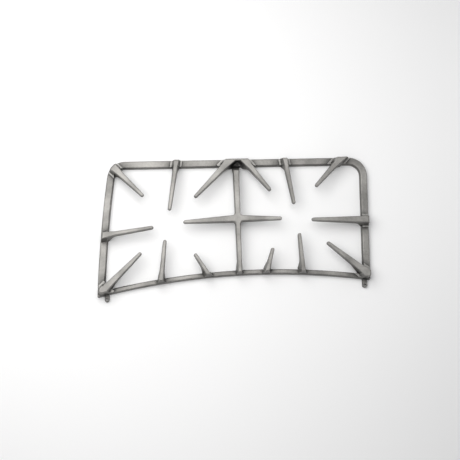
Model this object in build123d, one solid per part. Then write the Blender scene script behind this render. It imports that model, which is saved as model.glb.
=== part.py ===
"""Hob pan support, one iron casting that serves two burners.

A ring of low bars carries raised fingers that point at the two burner centres.
The ring has a straight side, a hollow side, a bowed end and a plain end.
Millimetres, +Z up. The origin is the middle of the footprint, on the underside.
"""
import os
from math import cos, hypot, radians, sin, tan
from build123d import *

# Ring of bars, sizes at the underside. X = 0 lies beside the middle bar while it is drawn.
straight_edge = 123.5          # outer edge of the straight side, in Y
plain_corner = 239.0           # where the plain end meets the straight side, in X
plain_lean = 1.8               # degrees, the plain end leans in towards the hollow side
bowed_corner = -219.0          # where the bowed end meets the straight side, in X
bowed_foot = (-242.5, -115.0)  # where the bowed end meets the hollow side
bow = 3.4                      # rise of the bowed end over its chord
hollow_middle = (38.0, -82.5)  # highest point of the hollow side
hollow_radius = 1240.0
bar_width = 13.5
hollow_bar_width = 9.4
bar_depth = 9.0
bar_draft = 6.0                # degrees
bowed_corner_radius = 32.0
plain_corner_radius = 33.0
foot_corner_radius = 2.0
inside_corner_radius = 6.0
bar_edge_round = 1.8

# Raised fingers
support_height = 26.0          # pan level above the underside
tip_half_width = 2.5
tip_depth = 6.5
finger_draft = 7.0             # degrees
top_ease = 0.9                 # height of the small bevel round every top face
ease_angle = 45.0              # degrees
root_depth = 10.0              # blade depth where the haunch starts
haunch = 9.0                   # length over which a blade drops to its bar
corner_haunch = 28.0           # the same for the fingers at the sharp corners
haunch_round = 8.0
flare_length = 26.0            # a flared root widens over this length
flare_round = 40.0
root_length = 24.0             # pyramid foot that spreads a root over its bar
root_draft = 14.0              # degrees
root_corner_radius = 6.0
end_draft = 6.0                # degrees, slope of the outer ends above the bars
end_ease = 1.8                 # height of the bevel at the top of the outer ends
end_step = 0.4                 # the outer ends stand back by this from the edge of the bars
plinth_step = 3.2              # ledge beside a root
plinth_height = 2.6            # above the bars

# Burner centres and the circles the finger tips stop at
bowed_burner = (-118.3, 5.3)
plain_burner = (105.1, 11.9)
inner_circle = 26.8
outer_circle = 67.4
# Shapes of finger: how fast each side widens towards the root, flare of the root, haunch
slim_spread = 0.7              # degrees
broad_spread = 2.0             # degrees
flared_root = 2.6
broad_root = 2.0
slim = (slim_spread, 0, haunch)
tapered = (broad_spread, 0, haunch)
flared = (slim_spread, flared_root, haunch)
broad = (broad_spread, broad_root, haunch)
corner = (broad_spread, broad_root, corner_haunch)
# burner, tip circle, bearing of the tip from the burner, bearing of the finger, shape, ledges
rim_fingers = [
    (bowed_burner, outer_circle, 129.2, 134.0, broad, True),
    (bowed_burner, inner_circle, 84.7, 80.6, slim, True),
    (bowed_burner, outer_circle, 45.9, 45.5, broad, True),
    (bowed_burner, inner_circle, 186.9, 187.9, flared, False),
    (bowed_burner, outer_circle, 224.2, 224.0, corner, True),
    (bowed_burner, inner_circle, 256.3, 263.2, slim, False),
    (bowed_burner, outer_circle, 310.4, 302.0, slim, False),
    (plain_burner, outer_circle, 56.8, 46.5, broad, True),
    (plain_burner, inner_circle, 97.8, 98.5, slim, True),
    (plain_burner, outer_circle, 130.8, 127.8, broad, True),
    (plain_burner, inner_circle, 355.5, 358.6, tapered, True),
    (plain_burner, outer_circle, 319.7, 320.7, corner, True),
    (plain_burner, inner_circle, 276.3, 273.4, slim, False),
    (plain_burner, outer_circle, 230.1, 253.6, slim, False),
]
arm_fingers = [
    (bowed_burner, inner_circle, 9.8),
    (plain_burner, inner_circle, 178.2),
]

# Middle bar between the burners, and the thin wall that closes the pocket at its head
middle_line = 2.2              # where the middle bar runs, in X
middle_half_width = 4.6
middle_foot_half_width = 3.0
middle_underside = 16.0
middle_end_underside = 4.0
middle_haunch = 14.0
middle_slope = 11.0            # run of the sloping head
middle_slope_foot = 11.0       # level where that slope ends
arm_root = 14.8                # where the two arms leave the middle bar, in Y
arm_corner_radius = 2.3        # corners between bar and arms at the underside; the draft widens it
pocket_wall = 3.0
pocket_reach = (-8.0, 22.0)    # the wall runs between these, in X

# Eye lugs at the two feet of the hollow side
lug_thickness = 6.0
lug_radius = 4.2
lug_hole_radius = 2.2
lug_draft = 3.0                # degrees
bowed_lug = (16.7, 7.2)        # distance in from the foot, and reach of the eye past the hollow side
plain_lug = (10.5, 10.2)


def bowed_circle():
    """Centre and radius of the bowed end."""
    dx = bowed_foot[0] - bowed_corner
    dy = bowed_foot[1] - straight_edge
    chord = hypot(dx, dy)
    radius = (chord ** 2 / 4 + bow ** 2) / (2 * bow)
    reach = radius - bow
    middle = ((bowed_corner + bowed_foot[0]) / 2, (straight_edge + bowed_foot[1]) / 2)
    return (middle[0] - reach * dy / chord, middle[1] + reach * dx / chord), radius


def hollow_edge(x):
    """Outer edge of the hollow side at X."""
    rise = (hollow_radius ** 2 - (x - hollow_middle[0]) ** 2) ** 0.5
    return hollow_middle[1] - hollow_radius + rise


def plain_end(y):
    """Outer edge of the plain end at Y."""
    return plain_corner - (straight_edge - y) * tan(radians(plain_lean))


def outline(bar_inset, hollow_inset, foot_radius):
    """Plan of the ring moved in from its outer edge."""
    far = 2 * plain_corner
    top = straight_edge - bar_inset
    end_inset = bar_inset / cos(radians(plain_lean))
    (cx, cy), bow_radius = bowed_circle()
    plan = make_face(Polyline(
        (-far, -far), (plain_end(-far) - end_inset, -far), (plain_end(top) - end_inset, top), (-far, top),
        close=True))
    plan = plan & Pos(cx, cy) * Circle(bow_radius - bar_inset)
    centre_y = hollow_middle[1] - hollow_radius
    plan = plan - Pos(hollow_middle[0], centre_y) * Circle(hollow_radius + hollow_inset)
    by_height = plan.vertices().sort_by(Axis.Y)
    corners = [tuple(corner) for corner in ShapeList(by_height[2:]).sort_by(Axis.X)]
    plan = fillet(by_height[:2], foot_radius)
    for place, radius in zip(corners, (bowed_corner_radius, plain_corner_radius)):
        corner = plan.vertices().sort_by_distance(place)[0]
        plan = fillet(corner, radius - bar_inset)
    return plan


def prism(plan, low, height, draft):
    """Plan raised from a level, leaning in by the draft."""
    return Pos(0, 0, low) * extrude(plan, height, taper=draft)


def eased_prism(plan, low, height, draft, ease):
    """Prism whose top edges are eased by a small bevel."""
    body = prism(plan, low, height - ease, draft)
    top = body.faces().sort_by(Axis.Z)[-1]
    return body + extrude(top, ease, taper=ease_angle)


def well(plan, depth, draft):
    """Hole from the underside up to a level, its plan drawn at that level, narrowing downwards."""
    return Pos(0, 0, depth) * mirror(extrude(plan, depth, taper=draft), about=Plane.XY)


def strip(start, end, half):
    """Straight strip along X."""
    return make_face(Polyline((start, -half), (end, -half), (end, half), (start, half), close=True))


def finger_plan(reach, overrun, shape):
    """Plan of a finger along X at the underside, with the centre of its round tip at the origin."""
    angle = radians(shape[0])
    half = tip_half_width + support_height * tan(radians(finger_draft))
    knee = reach - flare_length
    end = reach + overrun
    knee_half = half / cos(angle) + knee * tan(angle)
    root_half = half / cos(angle) + reach * tan(angle) + shape[1]
    side = [(-half * sin(angle), half * cos(angle)), (knee, knee_half), (reach, root_half), (end, root_half)]
    back = [(x, -y) for x, y in side]
    edge = Polyline(*back, *reversed(side)) + ThreePointArc(side[0], (-half, 0), back[0])
    plan = make_face(edge)
    if shape[1] > 0:
        knees = [plan.vertices().sort_by_distance(point)[0] for point in (side[1], back[1])]
        plan = fillet(knees, flare_round)
    return plan


def finger_side(seat, end, foot, run):
    """Side view of a finger, thickened: flat on top, the underside dropping over a run to its seat."""
    tip_underside = support_height - tip_depth
    bend = (seat - run, support_height - root_depth)
    start = -bar_width
    side = make_face(Polyline(
        (start, support_height), (start, tip_underside), (0, tip_underside), bend,
        (seat, foot), (end, foot), (end, support_height), close=True))
    side = fillet(side.vertices().sort_by_distance(bend)[0], haunch_round)
    return extrude(Plane.XZ * side, 2 * bar_width, both=True)


def root(reach, overrun, shape):
    """Pyramid foot under the outer end of a finger, and half its width at the underside."""
    top_half = tip_half_width + (reach - root_length) * tan(radians(shape[0])) + shape[1] / 2
    half = top_half + support_height * tan(radians(root_draft))
    plan = strip(reach - root_length, reach + overrun, half)
    return prism(plan, 0, support_height, root_draft), half


def tip_point(burner, circle, bearing):
    """Centre of a finger's rounded tip, so that the tip just reaches its circle."""
    reach = circle + tip_half_width
    return (burner[0] + reach * cos(radians(bearing)), burner[1] + reach * sin(radians(bearing)))


def length_inside(plan, tip, bearing):
    """Length of a finger from its tip centre to the edge of the plan."""
    far = 2 * plain_corner
    line = Line(tip, (tip[0] + far * cos(radians(bearing)), tip[1] + far * sin(radians(bearing))))
    return (line & plan).edges()[0].length


def middle_cross():
    """Long raised bar between the burners, with a sloping head, and the two arms that leave it."""
    lean = support_height * tan(radians(finger_draft))
    head = straight_edge - bar_width
    foot = hollow_edge(middle_line) - bar_width
    head_half = middle_half_width + lean
    foot_half = middle_foot_half_width + lean
    plan = make_face(Polyline(
        (-foot_half, foot), (foot_half, foot), (head_half, head + lean), (-head_half, head + lean),
        close=True))
    plan = Pos(middle_line, 0) * plan
    seat = hollow_edge(middle_line) + hollow_bar_width
    side = make_face(Polyline(
        (foot, 0), (seat, 0), (seat, middle_end_underside), (seat + middle_haunch, middle_underside),
        (head - middle_haunch, middle_underside), (head, middle_end_underside),
        (head + lean, middle_end_underside), (head + lean, middle_slope_foot),
        (head, middle_slope_foot), (head - middle_slope, support_height), (foot, support_height),
        close=True))
    slab = Pos(middle_line, 0) * extrude(Plane.YZ * side, head_half + arm_corner_radius, both=True)
    for burner, circle, tip_bearing in arm_fingers:
        tip = tip_point(burner, circle, tip_bearing)
        away = Vector(middle_line - tip[0], arm_root - tip[1])
        bearing = Vector(1, 0).get_signed_angle(away, Vector(0, 0, 1))
        place = Pos(tip[0], tip[1]) * Rot(0, 0, bearing)
        plan = plan + place * finger_plan(away.length, middle_foot_half_width, tapered)
        end = away.length + middle_foot_half_width
        slab = slab + place * finger_side(away.length - middle_haunch, end, middle_underside, haunch)
    corners = plan.vertices().sort_by_distance((middle_line, arm_root))[:4]
    plan = fillet(corners, arm_corner_radius)
    return eased_prism(plan, 0, support_height, finger_draft, top_ease) & slab


def lug(x, reach):
    """Eye lug standing out past the hollow side, with the centre of its eye."""
    edge = hollow_edge(x)
    eye = edge - reach
    plan = make_face(Polyline(
        (x - lug_radius, eye), (x + lug_radius, eye), (x + lug_radius, edge + hollow_bar_width / 2),
        (x - lug_radius, edge + hollow_bar_width / 2), close=True))
    plan = plan + Pos(x, eye) * Circle(lug_radius)
    body = eased_prism(plan, 0, lug_thickness, lug_draft, top_ease)
    return body, Pos(x, eye) * extrude(Circle(lug_hole_radius), lug_thickness)


def pan_support():
    """The whole casting, as it is drawn."""
    inset = bar_depth * tan(radians(bar_draft))
    base = outline(0, 0, foot_corner_radius)
    shoulder = outline(inset + end_step, inset + end_step, root_corner_radius)
    opening = outline(bar_width - inset, hollow_bar_width - inset, inside_corner_radius)
    block = prism(base, 0, bar_depth, bar_draft)
    ring = block - well(opening, bar_depth, bar_draft)
    ring = fillet(ring.faces().sort_by(Axis.Z)[-1].edges(), bar_edge_round)
    envelope = block + eased_prism(shoulder, bar_depth, support_height - bar_depth, end_draft, end_ease)
    ledge_level = bar_depth + plinth_height
    ledge_band = prism(shoulder, bar_depth / 2, ledge_level - bar_depth / 2, bar_draft)
    ledge_band = ledge_band - extrude(opening, ledge_level)
    root_band = envelope - extrude(opening, support_height)

    pieces = []
    overrun = 2 * bar_width
    for burner, circle, tip_bearing, bearing, shape, ledges in rim_fingers:
        tip = tip_point(burner, circle, tip_bearing)
        reach = length_inside(base, tip, bearing)
        place = Pos(tip[0], tip[1]) * Rot(0, 0, bearing)
        foot, half = root(reach, overrun, shape)
        blade = eased_prism(finger_plan(reach, overrun, shape), 0, support_height, finger_draft, top_ease)
        blade = blade & finger_side(reach - bar_width, reach + overrun, 0, shape[2])
        pieces.append(place * blade & envelope)
        pieces.append(place * foot & root_band)
        if ledges:
            half = half - ledge_level * tan(radians(root_draft)) + plinth_step
            ledge = extrude(strip(reach - 2 * bar_width, reach + overrun, half), ledge_level)
            pieces.append(place * ledge & ledge_band)
    pieces.append(middle_cross() & envelope)

    wall_depth = inset + end_step + (support_height - bar_depth) * tan(radians(end_draft)) + pocket_wall
    wall = Pos(0, straight_edge) * strip(pocket_reach[0], pocket_reach[1], wall_depth)
    pieces.append(extrude(wall, support_height) & envelope)
    casting = ring + pieces
    plain_foot = plain_end(hollow_edge(plain_corner))
    lugs = [lug(bowed_foot[0] + bowed_lug[0], bowed_lug[1]), lug(plain_foot - plain_lug[0], plain_lug[1])]
    casting = casting + [body for body, eye in lugs]
    return casting - [eye for body, eye in lugs]


casting = pan_support()
box = casting.bounding_box()
casting = Pos(-box.center().X, -box.center().Y, -box.min.Z) * casting
casting.label = "pan_support"
os.makedirs("parts", exist_ok=True)
export_step(casting, "parts/pan_support.step")
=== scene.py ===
import bpy
from mathutils import Matrix, Vector

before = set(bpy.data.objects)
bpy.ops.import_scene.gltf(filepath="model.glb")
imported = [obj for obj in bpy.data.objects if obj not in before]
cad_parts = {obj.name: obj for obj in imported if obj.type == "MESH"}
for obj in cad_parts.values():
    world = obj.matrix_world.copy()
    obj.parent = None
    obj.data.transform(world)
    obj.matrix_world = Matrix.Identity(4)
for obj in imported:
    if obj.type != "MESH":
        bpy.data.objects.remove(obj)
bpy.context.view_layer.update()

MM = 0.001

# Viewpoint of the photograph, in the frame of the part; the angles are in radians
CAMERA_PLACE = Vector((-132.3, -274.7, 1548.5)) * MM
CAMERA_YAW = 0.0798
CAMERA_TILT = -0.1735
CAMERA_ROLL = 0.0384
CAMERA_LENS = 70.43
SENSOR_WIDTH = 36.0

# Rounding of the casting's edges in the shading; the shapes themselves stay those of the solid
EDGE_ROUND = 1.0 * MM

# Levels above the underside: painted shade lies on the bars up to the first, painted highlight lies on the
# ledges between the next two, and pans rub the fingers over the last; each is a start and an end of the
# change
BAR_TOP = (9.4 * MM, 11.2 * MM)
LEDGE_LOW = (11.0 * MM, 11.4 * MM)
LEDGE_HIGH = (12.2 * MM, 12.8 * MM)
CREST = (20.5 * MM, 24.5 * MM)

# Colours of the iron, linear
# painted shade: the darker colour of faces turned to the side
SHADED_FLANK = (0.140, 0.136, 0.128)
# painted light on faces turned upward, and wear on the crests of the fingers
LIT_AND_RUBBED_TOP = (0.282, 0.274, 0.260)
# edges lighten partly as wear and partly as painted highlight; the ledges take it as painted highlight
WORN_EDGE_AND_HIGHLIGHT = (0.50, 0.49, 0.47)
# painted shade for recesses, and painted shade and dark reflection for bar tops close to taller iron
CREVICE_SHADE = (0.010, 0.0095, 0.009)
METALNESS = 0.55

# Sizes of the noise in the iron, in cells per metre
BLOTCH_SCALE = 30.0
MOTTLE_SCALE = 230.0
GRAIN_SCALE = 1300.0

# Heights of the bumps, and how far iron nearby counts towards the painted shade
MOTTLE_HEIGHT = 0.5 * MM
GRAIN_HEIGHT = 0.12 * MM
SHADE_REACH = 45 * MM

# Paper floor, just under the part so that the two faces do not meet
FLOOR_COLOUR = (0.92, 0.92, 0.922)
FLOOR_SIZE = 10.0
FLOOR_LEVEL = -0.2 * MM


def link(tree, source, target):
    tree.links.new(source, target)


def noise(tree, coordinates, scale, detail, roughness):
    node = tree.nodes.new("ShaderNodeTexNoise")
    node.inputs["Scale"].default_value = scale
    node.inputs["Detail"].default_value = detail
    node.inputs["Roughness"].default_value = roughness
    link(tree, coordinates, node.inputs["Vector"])
    return node.outputs["Fac"]


def spread(tree, value, low, high, out_low, out_high):
    """Value moved from one range to another, eased at both ends."""
    node = tree.nodes.new("ShaderNodeMapRange")
    node.interpolation_type = "SMOOTHSTEP"
    node.inputs["From Min"].default_value = low
    node.inputs["From Max"].default_value = high
    node.inputs["To Min"].default_value = out_low
    node.inputs["To Max"].default_value = out_high
    link(tree, value, node.inputs["Value"])
    return node.outputs["Result"]


def combine(tree, operation, first, second):
    node = tree.nodes.new("ShaderNodeMath")
    node.operation = operation
    link(tree, first, node.inputs[0])
    link(tree, second, node.inputs[1])
    return node.outputs["Value"]


def mix_to(tree, amount, base, colour):
    """Base colour, a socket or a plain colour, moved towards another colour by an amount."""
    node = tree.nodes.new("ShaderNodeMix")
    node.data_type = "RGBA"
    link(tree, amount, node.inputs[0])
    if isinstance(base, tuple):
        node.inputs[6].default_value = (*base, 1.0)
    else:
        link(tree, base, node.inputs[6])
    node.inputs[7].default_value = (*colour, 1.0)
    return node.outputs[2]


def shade(tree, colour, factor):
    """Colour made lighter or darker by a factor."""
    node = tree.nodes.new("ShaderNodeVectorMath")
    node.operation = "SCALE"
    link(tree, colour, node.inputs[0])
    link(tree, factor, node.inputs["Scale"])
    return node.outputs["Vector"]


def bump(tree, height, strength, distance, normal=None):
    node = tree.nodes.new("ShaderNodeBump")
    node.inputs["Strength"].default_value = strength
    node.inputs["Distance"].default_value = distance
    link(tree, height, node.inputs["Height"])
    if normal is not None:
        link(tree, normal, node.inputs["Normal"])
    return node.outputs["Normal"]


def cast_iron():
    """Bare grey iron out of the sand: painted shade on the flanks and in recesses, painted light on the
    upward faces, rubbed crests, edges lightened as wear and painted highlight, painted highlight on the
    ledges, fine grain, faint blotches.
    """
    material = bpy.data.materials.new("cast_iron")
    material.use_nodes = True
    tree = material.node_tree
    surface = tree.nodes["Principled BSDF"]
    place = tree.nodes.new("ShaderNodeTexCoord")
    coordinates = place.outputs["Object"]

    blotches = noise(tree, coordinates, BLOTCH_SCALE, 3.0, 0.5)
    mottle = noise(tree, coordinates, MOTTLE_SCALE, 4.0, 0.6)
    grain = noise(tree, coordinates, GRAIN_SCALE, 3.0, 0.65)

    facing = tree.nodes.new("ShaderNodeSeparateXYZ")
    link(tree, place.outputs["Normal"], facing.inputs["Vector"])
    level = tree.nodes.new("ShaderNodeSeparateXYZ")
    link(tree, coordinates, level.inputs["Vector"])
    # upward faces take the lighter colour as painted light and the flanks the darker one as painted shade;
    # the crests lighten as wear
    upward = spread(tree, facing.outputs["Z"], 0.45, 0.95, 0.0, 1.0)
    crest = spread(tree, level.outputs["Z"], *CREST, 0.0, 0.8)
    colour = mix_to(tree, combine(tree, "MAXIMUM", upward, crest), SHADED_FLANK, LIT_AND_RUBBED_TOP)

    tone = combine(tree, "MULTIPLY", spread(tree, blotches, 0.28, 0.72, 0.76, 1.24),
                   spread(tree, mottle, 0.25, 0.75, 0.86, 1.14))
    tone = combine(tree, "MULTIPLY", tone, spread(tree, grain, 0.2, 0.8, 0.88, 1.12))
    colour = shade(tree, colour, tone)

    form = tree.nodes.new("ShaderNodeNewGeometry")
    rounded = tree.nodes.new("ShaderNodeBevel")
    rounded.samples = 8
    rounded.inputs["Radius"].default_value = EDGE_ROUND
    turn = tree.nodes.new("ShaderNodeVectorMath")
    turn.operation = "DOT_PRODUCT"
    link(tree, rounded.outputs["Normal"], turn.inputs[0])
    link(tree, form.outputs["True Normal"], turn.inputs[1])
    edge = spread(tree, turn.outputs["Value"], 0.88, 0.98, 1.0, 0.0)
    # painted highlight on the upward ledge strips beside the finger roots
    ledge_highlight = combine(tree, "MULTIPLY", spread(tree, level.outputs["Z"], *LEDGE_LOW, 0.0, 1.0),
                    spread(tree, level.outputs["Z"], *LEDGE_HIGH, 1.0, 0.0))
    ledge_highlight = combine(tree, "MULTIPLY", ledge_highlight, upward)
    wear_and_highlight = combine(tree, "MULTIPLY", combine(tree, "MAXIMUM", edge, ledge_highlight),
                     spread(tree, mottle, 0.35, 0.65, 0.3, 0.8))
    colour = mix_to(tree, wear_and_highlight, colour, WORN_EDGE_AND_HIGHLIGHT)

    occlusion = tree.nodes.new("ShaderNodeAmbientOcclusion")
    occlusion.samples = 8
    occlusion.only_local = True
    occlusion.inputs["Distance"].default_value = SHADE_REACH
    # painted shade: deep recesses go dark, and so do the low bar tops close to taller iron, as shade and
    # as a painted dark reflection
    deep_shade = spread(tree, occlusion.outputs["AO"], 0.38, 0.80, 0.97, 0.0)
    low = combine(tree, "MULTIPLY", spread(tree, occlusion.outputs["AO"], 0.55, 0.99, 0.97, 0.0),
                  spread(tree, level.outputs["Z"], *BAR_TOP, 1.0, 0.0))
    colour = mix_to(tree, combine(tree, "MAXIMUM", deep_shade, low), colour, CREVICE_SHADE)
    link(tree, colour, surface.inputs["Base Color"])

    surface.inputs["Metallic"].default_value = METALNESS
    link(tree, spread(tree, mottle, 0.3, 0.7, 0.40, 0.56), surface.inputs["Roughness"])

    waves = bump(tree, mottle, 0.30, MOTTLE_HEIGHT, rounded.outputs["Normal"])
    link(tree, bump(tree, grain, 0.40, GRAIN_HEIGHT, waves), surface.inputs["Normal"])
    return material


def pale_floor():
    material = bpy.data.materials.new("pale_floor")
    material.use_nodes = True
    surface = material.node_tree.nodes["Principled BSDF"]
    surface.inputs["Base Color"].default_value = (*FLOOR_COLOUR, 1.0)
    surface.inputs["Roughness"].default_value = 0.9
    surface.inputs["Specular IOR Level"].default_value = 0.1
    bpy.ops.mesh.primitive_plane_add(size=FLOOR_SIZE, location=(0.0, 0.0, FLOOR_LEVEL))
    floor = bpy.context.object
    floor.name = "floor"
    floor.data.materials.append(material)


def soft_light(name, place, target, size, power, colour):
    """Large lamp at a place, aimed at a target, unseen by the camera."""
    data = bpy.data.lights.new(name, "AREA")
    data.shape = "RECTANGLE"
    data.size, data.size_y = size
    data.energy = power
    data.color = colour
    light = bpy.data.objects.new(name, data)
    light.location = place
    light.rotation_euler = (Vector(target) - Vector(place)).to_track_quat("-Z", "Y").to_euler()
    light.visible_camera = False
    bpy.context.scene.collection.objects.link(light)


def set_world(bright_side, low, high):
    """Studio surround, bright towards one side and dim on the other."""
    world = bpy.data.worlds.new("studio")
    world.use_nodes = True
    tree = world.node_tree
    background = tree.nodes["Background"]
    background.inputs["Color"].default_value = (0.98, 0.985, 1.0, 1.0)
    place = tree.nodes.new("ShaderNodeTexCoord")
    side = tree.nodes.new("ShaderNodeVectorMath")
    side.operation = "DOT_PRODUCT"
    link(tree, place.outputs["Generated"], side.inputs[0])
    side.inputs[1].default_value = Vector(bright_side).normalized()
    link(tree, spread(tree, side.outputs["Value"], -0.8, 0.9, low, high), background.inputs["Strength"])
    bpy.context.scene.world = world


def set_camera():
    turn = Matrix.Rotation(CAMERA_ROLL, 3, "Z") @ Matrix.Rotation(CAMERA_TILT, 3, "X")
    turn = turn @ Matrix.Rotation(CAMERA_YAW, 3, "Y")
    data = bpy.data.cameras.new("camera")
    data.lens = CAMERA_LENS
    data.sensor_width = SENSOR_WIDTH
    camera = bpy.data.objects.new("camera", data)
    camera.matrix_world = Matrix.Translation(CAMERA_PLACE) @ turn.transposed().to_4x4()
    bpy.context.scene.collection.objects.link(camera)
    bpy.context.scene.camera = camera


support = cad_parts["pan_support"]
support.data.materials.clear()
support.data.materials.append(cast_iron())

pale_floor()
soft_light("key", (-0.34, 0.22, 0.86), (-0.16, 0.05, 0.0), (1.1, 1.1), 11.4, (1.0, 0.995, 0.985))
soft_light("rim", (0.95, 0.30, 0.45), (0.10, 0.0, 0.0), (0.5, 0.9), 1.4, (0.98, 0.99, 1.0))
soft_light("fill", (0.0, -1.10, 0.50), (0.0, 0.0, 0.0), (1.4, 0.5), 1.5, (1.0, 1.0, 1.0))
set_world((-0.45, 0.55, 0.7), 0.10, 0.28)
set_camera()
bpy.context.scene.view_settings.view_transform = "Standard"
